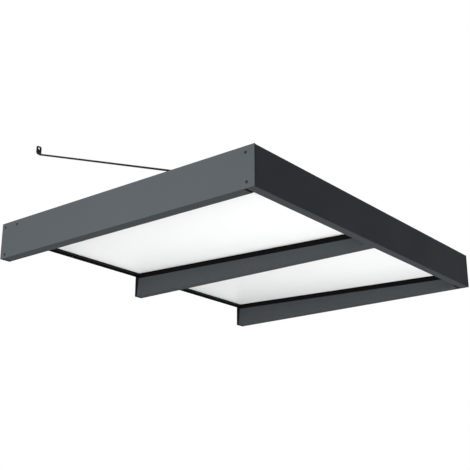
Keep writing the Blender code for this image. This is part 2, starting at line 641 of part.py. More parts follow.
def make_tie_rods():
    """Round rods with flattened, drilled ends, bent to lie on the wall and on the rod bracket."""
    for side, sign in SIDES.items():
        bm = bmesh.new()
        rings = []
        for out, height, heading, flatness, trim in rod_stations():
            width = ROD_DIAMETER + (LUG_WIDTH - ROD_DIAMETER) * flatness - 2 * trim
            thickness = ROD_DIAMETER + (LUG_THICKNESS - ROD_DIAMETER) * flatness
            corner = ROD_DIAMETER / 2 + (LUG_EDGE - ROD_DIAMETER / 2) * flatness
            across = Vector((0.0, -math.sin(heading), math.cos(heading)))
            rings.append(section_ring(bm, place(sign * ROD_X, out, height), across, width, thickness,
                                      corner))
        for first, second in zip(rings, rings[1:]):
            bmesh.ops.bridge_loops(bm, edges=first + second)
        for ring in (rings[0], rings[-1]):
            bmesh.ops.contextual_create(bm, geom=ring)
        rod = add_object("tie_rod_" + side, bm, BLACK_STEEL, smooth=True)
        holes = bmesh.new()
        add_cylinder(holes, place(sign * ROD_X, LUG_THICKNESS / 2, WALL_HOLE_HEIGHT), (0, 1, 0),
                     WALL_HOLE_RADIUS, 3 * LUG_THICKNESS)
        add_cylinder(holes, place(sign * ROD_X, BOLT_OUT, LUG_HEIGHT), (0, 0, 1),
                     BOLT_RADIUS + BOLT_CLEARANCE, 3 * LUG_THICKNESS)
        combine(rod, holes)


def make_rod_fixings():
    """At each rod: an angle bracket on the fascia's rib, its screw, and the bolt and nut of the lug."""
    half = BRACKET_WIDTH / 2
    back = RIB_FACE - SEAT_GAP
    seat_bottom = BRACKET_SEAT - BRACKET_THICKNESS
    hex_radius = BOLT_HEAD_ACROSS / math.sqrt(3)
    head_bottom = LUG_HEIGHT + LUG_THICKNESS / 2 + SEAT_GAP
    nut_top = seat_bottom - SEAT_GAP
    tip = nut_top - NUT_HEIGHT - BOLT_TAIL - head_bottom
    for side, sign in SIDES.items():
        x = sign * ROD_X
        bm = box_between(x - half, x + half, level(BRACKET_START), level(back), level(seat_bottom),
                         level(BRACKET_SEAT))
        bracket = add_object("rod_bracket_" + side, bm, POWDER_COAT)
        combine(bracket, box_between(x - half, x + half, level(back - BRACKET_THICKNESS), level(back),
                                     level(seat_bottom + BRACKET_EDGE),
                                     level(seat_bottom + BRACKET_BACK_HEIGHT)), "UNION")
        holes = bmesh.new()
        add_cylinder(holes, place(x, BOLT_OUT, BRACKET_SEAT), (0, 0, 1), BOLT_RADIUS + BOLT_CLEARANCE,
                     4 * BRACKET_THICKNESS)
        add_cylinder(holes, place(x, back, RIB_MIDDLE), (0, 1, 0), SCREW_HOLE_RADIUS, 4 * BRACKET_THICKNESS)
        combine(bracket, holes)

        add_screw("rod_bracket_screw_" + side, pan_screw(BRACKET_SCREW_LENGTH), PAN_HEAD_HEIGHT,
                  place(x, back - BRACKET_THICKNESS - SEAT_GAP, RIB_MIDDLE), (-math.pi / 2, 0.0, 0.0))

        bolt = bmesh.new()
        add_cylinder(bolt, (0.0, 0.0, BOLT_HEAD_HEIGHT / 2), (0, 0, 1), hex_radius, BOLT_HEAD_HEIGHT, steps=6)
        bolt_object = add_object("rod_bolt_" + side, bolt, BLACK_STEEL, place(x, BOLT_OUT, head_bottom))
        shank = turned_shape([(0.0, BOLT_HEAD_HEIGHT / 2), (BOLT_RADIUS, BOLT_HEAD_HEIGHT / 2),
                              (BOLT_RADIUS, tip + BOLT_RADIUS / 4), (BOLT_RADIUS * 0.75, tip), (0.0, tip)])
        combine(bolt_object, shank, "UNION")

        nut = bmesh.new()
        add_cylinder(nut, (0.0, 0.0, -NUT_HEIGHT / 2), (0, 0, 1), hex_radius, NUT_HEIGHT, steps=6)
        nut_object = add_object("rod_nut_" + side, nut, BLACK_STEEL, place(x, BOLT_OUT, nut_top))
        bore = bmesh.new()
        add_cylinder(bore, (0.0, 0.0, -NUT_HEIGHT / 2), (0, 0, 1), BOLT_RADIUS + BOLT_CLEARANCE,
                     2 * NUT_HEIGHT)
        combine(nut_object, bore)


make_side_plates()
make_side_screws()
make_front_profile()
make_wall_rail()
make_rafters()
make_wall_shoes()
make_panes()
make_cover_bars()
make_tie_rods()
make_rod_fixings()
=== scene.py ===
# %% [markdown]
# # A door canopy, dressed for its portrait
# The part itself was made as exact solids: an aluminium frame with two milky panes, hung from the wall by two
# thin rods. This lesson gives those solids their finishes, models the small parts again in detail, and adds
# two black rubber pads that the solids don't have, as painted shade in two gaps. We load the imported solids
# first. They stay where they are, so everything that follows takes its place from them.

import json
import math

import bmesh
import bpy
from mathutils import Matrix, Vector

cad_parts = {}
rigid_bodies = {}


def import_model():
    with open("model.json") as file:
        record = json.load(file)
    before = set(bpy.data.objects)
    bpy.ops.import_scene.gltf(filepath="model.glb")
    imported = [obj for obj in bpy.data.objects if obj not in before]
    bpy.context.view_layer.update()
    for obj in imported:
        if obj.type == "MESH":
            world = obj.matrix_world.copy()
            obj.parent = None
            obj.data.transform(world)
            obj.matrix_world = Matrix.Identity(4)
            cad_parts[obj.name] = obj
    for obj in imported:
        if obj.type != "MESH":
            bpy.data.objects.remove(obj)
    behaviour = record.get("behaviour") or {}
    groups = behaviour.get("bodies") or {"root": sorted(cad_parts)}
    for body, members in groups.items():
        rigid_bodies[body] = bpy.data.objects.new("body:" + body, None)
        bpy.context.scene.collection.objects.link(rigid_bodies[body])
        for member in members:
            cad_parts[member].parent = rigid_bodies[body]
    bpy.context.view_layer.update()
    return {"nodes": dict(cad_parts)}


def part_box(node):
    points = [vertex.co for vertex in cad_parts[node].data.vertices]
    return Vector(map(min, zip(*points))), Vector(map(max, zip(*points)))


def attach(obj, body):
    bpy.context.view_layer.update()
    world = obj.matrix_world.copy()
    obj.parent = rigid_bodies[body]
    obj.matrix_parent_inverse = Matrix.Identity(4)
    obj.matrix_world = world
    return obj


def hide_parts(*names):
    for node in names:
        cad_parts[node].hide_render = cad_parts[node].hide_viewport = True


for leftover in list(bpy.data.objects):
    bpy.data.objects.remove(leftover, do_unlink=True)
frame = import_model()
nodes = frame["nodes"]
scene = bpy.context.scene

# %% [markdown]
# ## Where we stand
# The photograph looks up at the canopy from the front left, as a visitor would see it above a door. A camera
# that was fitted to the frame's corners gives the place, the direction and the lens. The direction is
# written as two angles, because they say more to a reader than a matrix does: the camera looks back at the
# object from 51.4 degrees to the left of straight ahead, and from 18.4 degrees below level.

# %% The camera
CAMERA_PLACE = Vector((-2.2104, -2.2042, -0.8920))
CAMERA_AZIMUTH = math.radians(-51.417)
CAMERA_ELEVATION = math.radians(-18.414)
LENS_MM = 68.916
SENSOR_MM = 36.0
NEAREST_SEEN = 0.05
FARTHEST_SEEN = 200.0

towards_camera = Vector((math.sin(CAMERA_AZIMUTH) * math.cos(CAMERA_ELEVATION),
                         -math.cos(CAMERA_AZIMUTH) * math.cos(CAMERA_ELEVATION),
                         math.sin(CAMERA_ELEVATION)))
camera_data = bpy.data.cameras.new("camera")
camera_data.lens = LENS_MM
camera_data.sensor_width = SENSOR_MM
camera_data.clip_start = NEAREST_SEEN
camera_data.clip_end = FARTHEST_SEEN
camera = bpy.data.objects.new("camera", camera_data)
camera.location = CAMERA_PLACE
camera.rotation_mode = "QUATERNION"
camera.rotation_quaternion = towards_camera.to_track_quat("Z", "Y")
scene.collection.objects.link(camera)
scene.camera = camera

# %% [markdown]
# ## Node helpers
# A material is a small graph of nodes. Making each node takes the same steps, so one helper adds a node,
# sets its values and plugs in what is handed to it. Sockets go by their names as in the editor, or by their
# number where several sockets of a node share a name. A Mix node has an A, a B and a Result for every kind
# of data, and the three numbers below are those of its colours.

# %% Add nodes
MIX_FIRST = 6
MIX_SECOND = 7
MIX_RESULT = 2


def add_node(tree, kind, inputs=None, **settings):
    """Adds a node; an input is either a value or the output socket of another node."""
    made = tree.nodes.new(kind)
    for name, value in settings.items():
        setattr(made, name, value)
    for name, value in (inputs or {}).items():
        if isinstance(value, bpy.types.NodeSocket):
            tree.links.new(value, made.inputs[name])
        else:
            made.inputs[name].default_value = value
    return made


def mix_colours(tree, share, first, second):
    mixed = add_node(tree, "ShaderNodeMix", data_type="RGBA",
                     inputs={"Factor": share, MIX_FIRST: first, MIX_SECOND: second})
    return mixed.outputs[MIX_RESULT]


def colour(red, green, blue):
    return (red, green, blue, 1.0)


def grey(level):
    return colour(level, level, level)


# %% [markdown]
# ## The room
# The canopy hangs free over a pale floor, which lies a door's height below it. The world is plain white to
# the camera, to mirrors and to glass, and gives a dimmer, even light to everything else. That keeps the
# background white without flooding the dark frame.

# %% World
AMBIENT_LIGHT = 0.22


def shown_ray(tree):
    """1 for what the camera, a mirror or a glass shows, and 0 for what only gives light."""
    ray = add_node(tree, "ShaderNodeLightPath")
    seen_or_glossy = add_node(tree, "ShaderNodeMath", operation="MAXIMUM",
                              inputs={0: ray.outputs["Is Camera Ray"], 1: ray.outputs["Is Glossy Ray"]})
    shown = add_node(tree, "ShaderNodeMath", operation="MAXIMUM",
                     inputs={0: seen_or_glossy.outputs[0], 1: ray.outputs["Is Transmission Ray"]})
    return shown.outputs[0]


world = bpy.data.worlds.new("studio")
world.use_nodes = True
world_tree = world.node_tree
world_tree.nodes.clear()
light_sky = add_node(world_tree, "ShaderNodeBackground",
                     inputs={"Color": grey(1.0), "Strength": AMBIENT_LIGHT})
white_sky = add_node(world_tree, "ShaderNodeBackground",
                     inputs={"Color": grey(1.0), "Strength": 1.0})
sky = add_node(world_tree, "ShaderNodeMixShader",
               inputs={0: shown_ray(world_tree), 1: light_sky.outputs[0], 2: white_sky.outputs[0]})
add_node(world_tree, "ShaderNodeOutputWorld", inputs={"Surface": sky.outputs[0]})
scene.world = world
scene.view_settings.view_transform = "Standard"
print("ambient light:", AMBIENT_LIGHT)

# %% [markdown]
# The floor is lifted towards white in the same way, for what is seen and mirrored only, so it stays pale and
# still shows the shadow of the canopy. From below it is clear, so that a camera under the floor can look
# straight up at the canopy.

# %% Floor paint
FLOOR_DARKEST = 0.77
FLOOR_PALEST = 0.80
FLOOR_LIFT = 0.45

floor_paint = bpy.data.materials.new("pale_floor")
floor_paint.use_nodes = True
floor_tree = floor_paint.node_tree
floor_shader = floor_tree.nodes["Principled BSDF"]
floor_shader.inputs["Roughness"].default_value = 0.85
floor_shader.inputs["Specular IOR Level"].default_value = 0.1
floor_shader.inputs["Emission Strength"].default_value = 1.0
floor_place = add_node(floor_tree, "ShaderNodeTexCoord").outputs["Object"]
floor_cloud = add_node(floor_tree, "ShaderNodeTexNoise",
                       inputs={"Vector": floor_place, "Scale": 0.8, "Detail": 3.0})
floor_tint = mix_colours(floor_tree, floor_cloud.outputs["Fac"], grey(FLOOR_DARKEST), grey(FLOOR_PALEST))
floor_tree.links.new(floor_tint, floor_shader.inputs["Base Color"])
floor_glow = mix_colours(floor_tree, shown_ray(floor_tree), grey(0.0), grey(FLOOR_LIFT))
floor_tree.links.new(floor_glow, floor_shader.inputs["Emission Color"])
floor_side = add_node(floor_tree, "ShaderNodeNewGeometry")
floor_window = add_node(floor_tree, "ShaderNodeBsdfTransparent")
floor_or_window = add_node(floor_tree, "ShaderNodeMixShader",
                           inputs={0: floor_side.outputs["Backfacing"], 1: floor_shader.outputs[0],
                                   2: floor_window.outputs[0]})
floor_tree.links.new(floor_or_window.outputs[0], floor_tree.nodes["Material Output"].inputs["Surface"])
print("paint:", floor_paint.name)

# %% Floor
OBJECT_MIDDLE = Vector((0.0, -0.5, 0.0))
FLOOR_DEPTH = 2.1
FLOOR_RADIUS = 40.0
FLOOR_SIDES = 96

floor_mesh = bpy.data.meshes.new("floor")
floor_bm = bmesh.new()
bmesh.ops.create_circle(floor_bm, cap_ends=True, segments=FLOOR_SIDES, radius=FLOOR_RADIUS,
                        matrix=Matrix.Translation(OBJECT_MIDDLE - Vector((0.0, 0.0, FLOOR_DEPTH))))
floor_bm.to_mesh(floor_mesh)
floor_bm.free()
floor_mesh.materials.append(floor_paint)
floor = bpy.data.objects.new("floor", floor_mesh)
scene.collection.objects.link(floor)
print("floor lies", FLOOR_DEPTH, "m below the wall rail")

# %% [markdown]
# ## The lamps
# In the photograph the left side of the canopy is the brightest, its front is in shade, and the undersides
# lie between them. Two large soft boxes stand on the left, one level with the frame and one lower and nearer
# the wall. A small one below lights the undersides, and a weak one overhead lights the panes through. All of
# them are wide, because a wide lamp gives soft shadows without hard edges.

# %% Soft boxes
def add_soft_box(name, place, width, height, watts, target=OBJECT_MIDDLE):
    lamp = bpy.data.lights.new(name, "AREA")
    lamp.shape = "RECTANGLE"
    lamp.size = width
    lamp.size_y = height
    lamp.energy = watts
    stand = bpy.data.objects.new(name, lamp)
    stand.location = place
    stand.rotation_mode = "QUATERNION"
    stand.rotation_quaternion = (Vector(place) - Vector(target)).to_track_quat("Z", "Y")
    stand.visible_camera = False
    scene.collection.objects.link(stand)
    print(name, "at", place, "with", watts, "W")


add_soft_box("left_high_box", place=(-3.2, -0.97, 0.1), width=2.0, height=1.0, watts=119.0)
add_soft_box("left_low_box", place=(-3.25, -0.05, -1.0), width=1.8, height=1.5, watts=106.0)
add_soft_box("low_soft_box", place=(0.2, -1.15, -1.4), width=1.6, height=0.6, watts=13.5,
             target=(0.48, -1.05, 0.0))
add_soft_box("top_soft_box", place=(0.3, -0.5, 1.4), width=1.8, height=1.5, watts=13.0)

# %% [markdown]
# ## Effects that several finishes share
# Three small node groups are built once and used in most of the materials below. Each takes the place on the
# object, in metres, and gives back a colour, a height or a mask, so that the materials keep their shaders
# to themselves.

# %% A group with named sockets
def new_group(name, inputs, outputs):
    """A node group; inputs and outputs are lists of (name, kind, default)."""
    group = bpy.data.node_groups.new(name, "ShaderNodeTree")
    for in_out, sockets in (("INPUT", inputs), ("OUTPUT", outputs)):
        for label, kind, default in sockets:
            socket = group.interface.new_socket(name=label, in_out=in_out, socket_type="NodeSocket" + kind)
            if default is not None:
                socket.default_value = default
    return group, add_node(group, "NodeGroupInput"), add_node(group, "NodeGroupOutput")


# %% [markdown]
# **Uneven colour.** No finish has exactly the same colour everywhere. The paint is a little thicker here and
# thinner there, and rubber is paler where it was rubbed. The group moves a colour gently between a darker
# and a lighter shade, in clouds of a chosen size.

# %% Uneven colour
uneven_colour, given, result = new_group(
    "uneven_colour",
    [("Place", "Vector", None), ("Colour", "Color", colour(0.5, 0.5, 0.5)), ("Cloud Scale", "Float", 8.0),
     ("Amount", "Float", 0.1)],
    [("Colour", "Color", None), ("Cloud", "Float", None)])
cloud = add_node(uneven_colour, "ShaderNodeTexNoise",
                 inputs={"Vector": given.outputs["Place"], "Scale": given.outputs["Cloud Scale"],
                         "Detail": 4.0, "Roughness": 0.55})
centred = add_node(uneven_colour, "ShaderNodeMath", operation="SUBTRACT",
                   inputs={0: cloud.outputs["Fac"], 1: 0.5})
swing = add_node(uneven_colour, "ShaderNodeMath", operation="MULTIPLY_ADD",
                 inputs={0: centred.outputs[0], 1: given.outputs["Amount"], 2: 1.0})
shaded = add_node(uneven_colour, "ShaderNodeVectorMath", operation="SCALE",
                  inputs={0: given.outputs["Colour"], "Scale": swing.outputs[0]})
uneven_colour.links.new(shaded.outputs[0], result.inputs["Colour"])
uneven_colour.links.new(cloud.outputs["Fac"], result.inputs["Cloud"])
print("group:", uneven_colour.name)

# %% [markdown]
# **Settled dust.** A canopy lives outdoors, so a little dust lies on what faces up, in soft patches. The
# group looks at the direction of the surface and at a noise, and mixes in a pale dust colour.

# %% Settled dust
DUST_COLOUR = colour(0.42, 0.40, 0.37)

settled_dust, given, result = new_group(
    "settled_dust",
    [("Place", "Vector", None), ("Colour", "Color", colour(0.5, 0.5, 0.5)), ("Amount", "Float", 0.1)],
    [("Colour", "Color", None), ("Dust", "Float", None)])
surface = add_node(settled_dust, "ShaderNodeNewGeometry")
direction = add_node(settled_dust, "ShaderNodeSeparateXYZ", inputs={0: surface.outputs["Normal"]})
facing_up = add_node(settled_dust, "ShaderNodeMapRange",
                     inputs={"Value": direction.outputs["Z"], "From Min": 0.6, "From Max": 0.98})
patches = add_node(settled_dust, "ShaderNodeTexNoise",
                   inputs={"Vector": given.outputs["Place"], "Scale": 22.0, "Detail": 6.0, "Roughness": 0.7})
patch_mask = add_node(settled_dust, "ShaderNodeMapRange",
                      inputs={"Value": patches.outputs["Fac"], "From Min": 0.35, "From Max": 0.75})
lying = add_node(settled_dust, "ShaderNodeMath", operation="MULTIPLY",
                 inputs={0: facing_up.outputs[0], 1: patch_mask.outputs[0]})
dust_mask = add_node(settled_dust, "ShaderNodeMath", operation="MULTIPLY",
                     inputs={0: lying.outputs[0], 1: given.outputs["Amount"]})
dusted = mix_colours(settled_dust, dust_mask.outputs[0], given.outputs["Colour"], DUST_COLOUR)
settled_dust.links.new(dusted, result.inputs["Colour"])
settled_dust.links.new(dust_mask.outputs[0], result.inputs["Dust"])
print("group:", settled_dust.name)

# %% [markdown]
# **Fine texture.** Baked powder looks like the skin of an orange, moulded plastic has a dull grain, and
# drawn or extruded stock carries faint lines along its length. All of these are a noise at the right scale.
# Stretch is small along the direction in which the lines run. The group gives a height for a Bump node.

# %% Fine texture
fine_texture, given, result = new_group(
    "fine_texture",
    [("Place", "Vector", None), ("Grain Scale", "Float", 900.0), ("Stretch", "Vector", (1.0, 1.0, 1.0)),
     ("Line Share", "Float", 0.3)],
    [("Height", "Float", None)])
grain = add_node(fine_texture, "ShaderNodeTexNoise",
                 inputs={"Vector": given.outputs["Place"], "Scale": given.outputs["Grain Scale"],
                         "Detail": 2.0, "Roughness": 0.5})
stretched = add_node(fine_texture, "ShaderNodeVectorMath", operation="MULTIPLY",
                     inputs={0: given.outputs["Place"], 1: given.outputs["Stretch"]})
lines = add_node(fine_texture, "ShaderNodeTexNoise",
                 inputs={"Vector": stretched.outputs[0], "Scale": 700.0, "Detail": 2.0})
both = add_node(fine_texture, "ShaderNodeMix", data_type="FLOAT",
                inputs={"Factor": given.outputs["Line Share"], "A": grain.outputs["Fac"],
                        "B": lines.outputs["Fac"]})
fine_texture.links.new(both.outputs["Result"], result.inputs["Height"])
print("group:", fine_texture.name)

# %% [markdown]
# ## One recipe for the matt finishes
# Powder coat, rubber, plastic and blackened steel differ in their values, not in how they are built: an
# uneven colour with dust on it, a roughness that follows the same clouds, and a fine texture in the normal.
# Numbers that are the same all over the surface are set on the shader itself.

# %% Build a matt finish
def matt_finish(name, base, roughness, roughness_swing=0.06, metallic=0.0, specular=0.5, cloud_scale=8.0,
                cloud_amount=0.12, dust=0.0, grain_scale=900.0, grain_height=0.00002, stretch=(1.0, 1.0, 1.0),
                line_share=0.0, turn=(0.0, 0.0, 0.0)):
    finish = bpy.data.materials.new(name)
    finish.use_nodes = True
    tree = finish.node_tree
    shader = tree.nodes["Principled BSDF"]
    shader.inputs["Metallic"].default_value = metallic
    shader.inputs["Specular IOR Level"].default_value = specular
    place = add_node(tree, "ShaderNodeTexCoord").outputs["Object"]
    if any(turn):
        place = add_node(tree, "ShaderNodeMapping", inputs={"Vector": place, "Rotation": turn}).outputs[0]
    tint = add_node(tree, "ShaderNodeGroup", node_tree=uneven_colour,
                    inputs={"Place": place, "Colour": colour(*base), "Cloud Scale": cloud_scale,
                            "Amount": cloud_amount})
    dusty = add_node(tree, "ShaderNodeGroup", node_tree=settled_dust,
                     inputs={"Place": place, "Colour": tint.outputs["Colour"], "Amount": dust})
    tree.links.new(dusty.outputs["Colour"], shader.inputs["Base Color"])
    rough = add_node(tree, "ShaderNodeMapRange",
                     inputs={"Value": tint.outputs["Cloud"], "From Min": 0.3, "From Max": 0.7,
                             "To Min": roughness - roughness_swing, "To Max": roughness + roughness_swing})
    tree.links.new(rough.outputs[0], shader.inputs["Roughness"])
    texture = add_node(tree, "ShaderNodeGroup", node_tree=fine_texture,
                       inputs={"Place": place, "Grain Scale": grain_scale, "Stretch": stretch,
                               "Line Share": line_share})
    bump = add_node(tree, "ShaderNodeBump",
                    inputs={"Height": texture.outputs["Height"], "Distance": grain_height, "Strength": 1.0})
    tree.links.new(bump.outputs[0], shader.inputs["Normal"])
    print("finish:", name)
    return finish


# %% [markdown]
# ## Anthracite powder coat
# The frame's aluminium is sprayed with charged powder and baked. The skin is matt, dark blue-grey, and has
# fine bumps about a millimetre across. Extruded bars also keep faint lines along their length, so the bars
# along X and along Y have a finish each.

# %% Powder coats
ANTHRACITE = (0.037, 0.042, 0.046)
EVEN = (1.0, 1.0, 1.0)
ALONG_X = (0.01, 1.0, 1.0)
ALONG_Y = (1.0, 0.01, 1.0)


def powder_coat(name, stretch, line_share):
    return matt_finish(name, ANTHRACITE, 0.64, specular=0.045, dust=0.05, cloud_scale=5.0, cloud_amount=0.10,
                       grain_scale=850.0, grain_height=0.00003, stretch=stretch, line_share=line_share)


powder_plate = powder_coat("powder_coat_on_plate", EVEN, 0.0)
powder_along_x = powder_coat("powder_coat_on_cross_bars", ALONG_X, 0.25)
powder_along_y = powder_coat("powder_coat_on_rafters", ALONG_Y, 0.25)

# %% [markdown]
# ## Rubber, moulded plastic and blackened steel
# The seals are extruded rubber with very little shine, and those that run along the wall are the blackest.
# The shoes at the wall are moulded plastic with an eroded grain. Rods and screws are steel with a black
# conversion layer, which is thin enough to keep the drawing lines of the bare metal.

# %% Rubber, plastic and steel
ROD_TILT = math.radians(19.58)
ALONG_A_LEVEL_ROD = (1.0, 0.02, 1.0)


def rubber(name, base, specular, stretch):
    return matt_finish(name, base, 0.8, specular=specular, cloud_scale=25.0, cloud_amount=0.35,
                       grain_scale=2500.0, grain_height=0.00002, stretch=stretch, line_share=0.6)


rubber_along_x = rubber("black_rubber_along_the_wall", (0.0013, 0.0013, 0.0014), 0.01, ALONG_X)
rubber_along_y = rubber("black_rubber_on_the_rafters", (0.003, 0.003, 0.0033), 0.025, ALONG_Y)
moulded_plastic = matt_finish("black_moulded_plastic", (0.003, 0.003, 0.0034), 0.68, specular=0.04,
                              cloud_scale=30.0, cloud_amount=0.2, grain_scale=1600.0, grain_height=0.00004)
rod_steel = matt_finish("blackened_rod_steel", (0.005, 0.005, 0.006), 0.50, metallic=0.15, specular=0.08,
                        cloud_scale=30.0, cloud_amount=0.5, dust=0.03, grain_scale=1800.0,
                        grain_height=0.00002, stretch=ALONG_A_LEVEL_ROD, line_share=0.8,
                        turn=(-ROD_TILT, 0.0, 0.0))
screw_steel = matt_finish("blackened_screw_steel", (0.009, 0.009, 0.010), 0.42, metallic=0.4, specular=0.15,
                          cloud_scale=160.0, cloud_amount=0.5, dust=0.03, grain_scale=3000.0,
                          grain_height=0.00001)

# %% [markdown]
# ## Milky acrylic
# Each pane is opal acrylic: white pigment in a clear plastic. Light that enters it is scattered inside and
# leaves somewhere near, also on the far side, which is why the underside glows a little when the sky is on
# top. Subsurface scattering over a few millimetres does that. The surface is satin rather than glossy, a bit
# duller where it was wiped, and has a little dust on top.

# %% Milky acrylic
PANE_SCATTER = 0.004
MILKY = colour(0.822, 0.825, 0.825)
LEAST_ROUGH = 0.33
MOST_ROUGH = 0.38

acrylic = bpy.data.materials.new("milky_acrylic_sheet")
acrylic.use_nodes = True
acrylic_tree = acrylic.node_tree
acrylic_shader = acrylic_tree.nodes["Principled BSDF"]
acrylic_shader.inputs["Subsurface Weight"].default_value = 1.0
acrylic_shader.inputs["Subsurface Radius"].default_value = (1.0, 1.0, 1.0)
acrylic_shader.inputs["Subsurface Scale"].default_value = PANE_SCATTER
acrylic_shader.inputs["Specular IOR Level"].default_value = 0.25
acrylic_place = add_node(acrylic_tree, "ShaderNodeTexCoord").outputs["Object"]
acrylic_tint = add_node(acrylic_tree, "ShaderNodeGroup", node_tree=uneven_colour,
                        inputs={"Place": acrylic_place, "Colour": MILKY, "Cloud Scale": 3.0, "Amount": 0.02})
acrylic_dust = add_node(acrylic_tree, "ShaderNodeGroup", node_tree=settled_dust,
                        inputs={"Place": acrylic_place, "Colour": acrylic_tint.outputs["Colour"],
                                "Amount": 0.03})
acrylic_tree.links.new(acrylic_dust.outputs["Colour"], acrylic_shader.inputs["Base Color"])
wipe_marks = add_node(acrylic_tree, "ShaderNodeTexNoise",
                      inputs={"Vector": acrylic_place, "Scale": 14.0, "Detail": 5.0, "Distortion": 1.5})
acrylic_rough = add_node(acrylic_tree, "ShaderNodeMapRange",
                         inputs={"Value": wipe_marks.outputs["Fac"], "From Min": 0.35, "From Max": 0.65,
                                 "To Min": LEAST_ROUGH, "To Max": MOST_ROUGH})
acrylic_tree.links.new(acrylic_rough.outputs[0], acrylic_shader.inputs["Roughness"])
print("finish:", acrylic.name)

# %% [markdown]
# ## Dressing the solids
# Plates, bars, seals and panes already have their true shape, so each keeps its solid and only swaps its
# material. The longest matching name wins, because a rafter's gasket is not a rafter.

# %% Give each solid its finish
FINISH_OF = {
    "side_plate": powder_plate,
    "front_profile": powder_along_x,
    "wall_rail": powder_along_x,
    "rafter": powder_along_y,
    "cover_bar": powder_along_y,
    "rod_bracket": powder_plate,
    "pane": acrylic,
    "rafter_gasket": rubber_along_y,
    "cover_seal": rubber_along_y,
    "rail_pane_seal": rubber_along_x,
    "rail_lip_seal": rubber_along_x,
    "rail_wall_seal": rubber_along_x,
    "front_pane_seal": rubber_along_x,
    "wall_shoe": moulded_plastic,
    "tie_rod": rod_steel,
    "cover_screw": screw_steel,
    "side_screw": screw_steel,
    "rod_bracket_screw": screw_steel,
    "rod_bolt": screw_steel,
    "rod_nut": screw_steel,
}


def finish_for(node_name):
    stems = [stem for stem in FINISH_OF if node_name.startswith(stem)]
    return FINISH_OF[max(stems, key=len)]


for node_name, solid in nodes.items():
    solid.material_slots[0].material = finish_for(node_name)
print("dressed", len(nodes), "solids")

# %% [markdown]
# ## The small parts, modelled again
# The solids that stand for screws, bolts, rods, brackets and shoes are right in size and place, but plain:
# they have no thread, no chamfer and few faces. So each of them gets a detailed piece. The first helper below
# makes a piece: it welds the doubles, turns the faces outwards, shades what is round as round, and says which
# body it rides on. The second one also names the piece after the solid that it stands for, and hides that
# solid.

# %% Add pieces
SHARP_ANGLE = math.radians(35.0)
WELD = 0.000001


def add_piece(bm, name, finish):
    """Makes a bmesh a piece of the canopy."""
    bmesh.ops.remove_doubles(bm, verts=bm.verts, dist=WELD)
    bmesh.ops.recalc_face_normals(bm, faces=bm.faces)
    mesh = bpy.data.meshes.new(name)
    bm.to_mesh(mesh)
    bm.free()
    mesh.shade_smooth()
    mesh.set_sharp_from_angle(angle=SHARP_ANGLE)
    mesh.materials.append(finish)
    piece = bpy.data.objects.new(name, mesh)
    scene.collection.objects.link(piece)
    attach(piece, "root")
    return piece


def finish_piece(bm, node_name):
    """Makes a bmesh the detailed piece that stands for a solid."""
    piece = add_piece(bm, node_name + "_detailed", finish_for(node_name))
    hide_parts(node_name)
    return piece


def middle_of(node_name):
    low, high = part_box(node_name)
    return (low + high) / 2


# %% [markdown]
# ## Rings along an axis
# A screw, a bolt and a nut are all made on a lathe or a header, so they are stacks of rings on one axis. We
# start from a disc and extrude its rim again and again. Each ring is a small function that turns an angle
# into a radius and a height: a constant radius gives a circle, a hexagon's radius gives a key recess or a
# spanner head, and a radius that follows a helix gives a thread. Spinning a profile would be shorter, but it
# makes only circles.

# %% Ring shapes
SIDE_ANGLE = math.radians(60.0)
HALF_SIDE_ANGLE = math.radians(30.0)


def round_ring(radius, height):
    return lambda angle: (radius, height)


def hexagon_ring(corner_radius, height, rim_radius=0.0, fall=0.0):
    """A hexagon with corners along Y. With a fall, what lies outside rim_radius drops, as after a chamfer."""
    def ring(angle):
        past_corner = (angle - HALF_SIDE_ANGLE) % SIDE_ANGLE
        radius = corner_radius * math.cos(HALF_SIDE_ANGLE) / math.cos(past_corner - HALF_SIDE_ANGLE)
        return radius, height - fall * (radius - rim_radius)
    return ring


def thread_ring(height, crest, depth, pitch):
    """One ring of a right-handed V thread."""
    def ring(angle):
        turn = (height / pitch - angle / math.tau) % 1.0
        return crest - depth * (1.0 - abs(2.0 * turn - 1.0)), height
    return ring


RINGS_PER_TURN = 8


def thread_rings(bottom, top, crest, depth, pitch):
    """Rings of a thread that fades out over its first and its last turn."""
    count = round((top - bottom) / pitch * RINGS_PER_TURN)
    rings = []
    for number in range(count + 1):
        height = bottom + (top - bottom) * number / count
        fade = min(1.0, (height - bottom) / pitch, (top - height) / pitch)
        rings.append(thread_ring(height, crest, depth * fade, pitch))
    return rings


# %% Extrude the rings
def grow(bm, edges):
    """Extrudes edges, and gives back the new vertices and the new edges between them."""
    grown = bmesh.ops.extrude_edge_only(bm, edges=edges)["geom"]
    verts = {part for part in grown if isinstance(part, bmesh.types.BMVert)}
    rim = [part for part in grown if isinstance(part, bmesh.types.BMEdge) and verts.issuperset(part.verts)]
    return verts, rim


def extrude_rings(rings, sides):
    """Extrudes a disc through all rings and closes its other end."""
    bm = bmesh.new()
    newest = bmesh.ops.create_circle(bm, cap_ends=True, segments=sides, radius=1.0)["verts"]
    rim = list(bm.edges)
    for number, ring in enumerate(rings):
        if number:
            newest, rim = grow(bm, rim)
        for vert in newest:
            angle = math.atan2(vert.co.y, vert.co.x)
            radius, height = ring(angle)
            vert.co = (radius * math.cos(angle), radius * math.sin(angle), height)
    bmesh.ops.contextual_create(bm, geom=rim)
    return bm


def place_copy(blank, node_name, matrix):
    """Puts a copy of a finished shape in its place as the piece of a node."""
    bm = blank.copy()
    bmesh.ops.transform(bm, matrix=matrix, verts=bm.verts)
    return finish_piece(bm, node_name)


# %% [markdown]
# ## Screws
# Three kinds hold the canopy together, all of blackened steel with a hexagonal key recess. Countersunk ones
# lie flush in the side plates. Long pan heads clamp the bars over the panes, and a short pan head holds each
# rod bracket. A recess's mouth has a small chamfer, which catches the light around the dark hole.

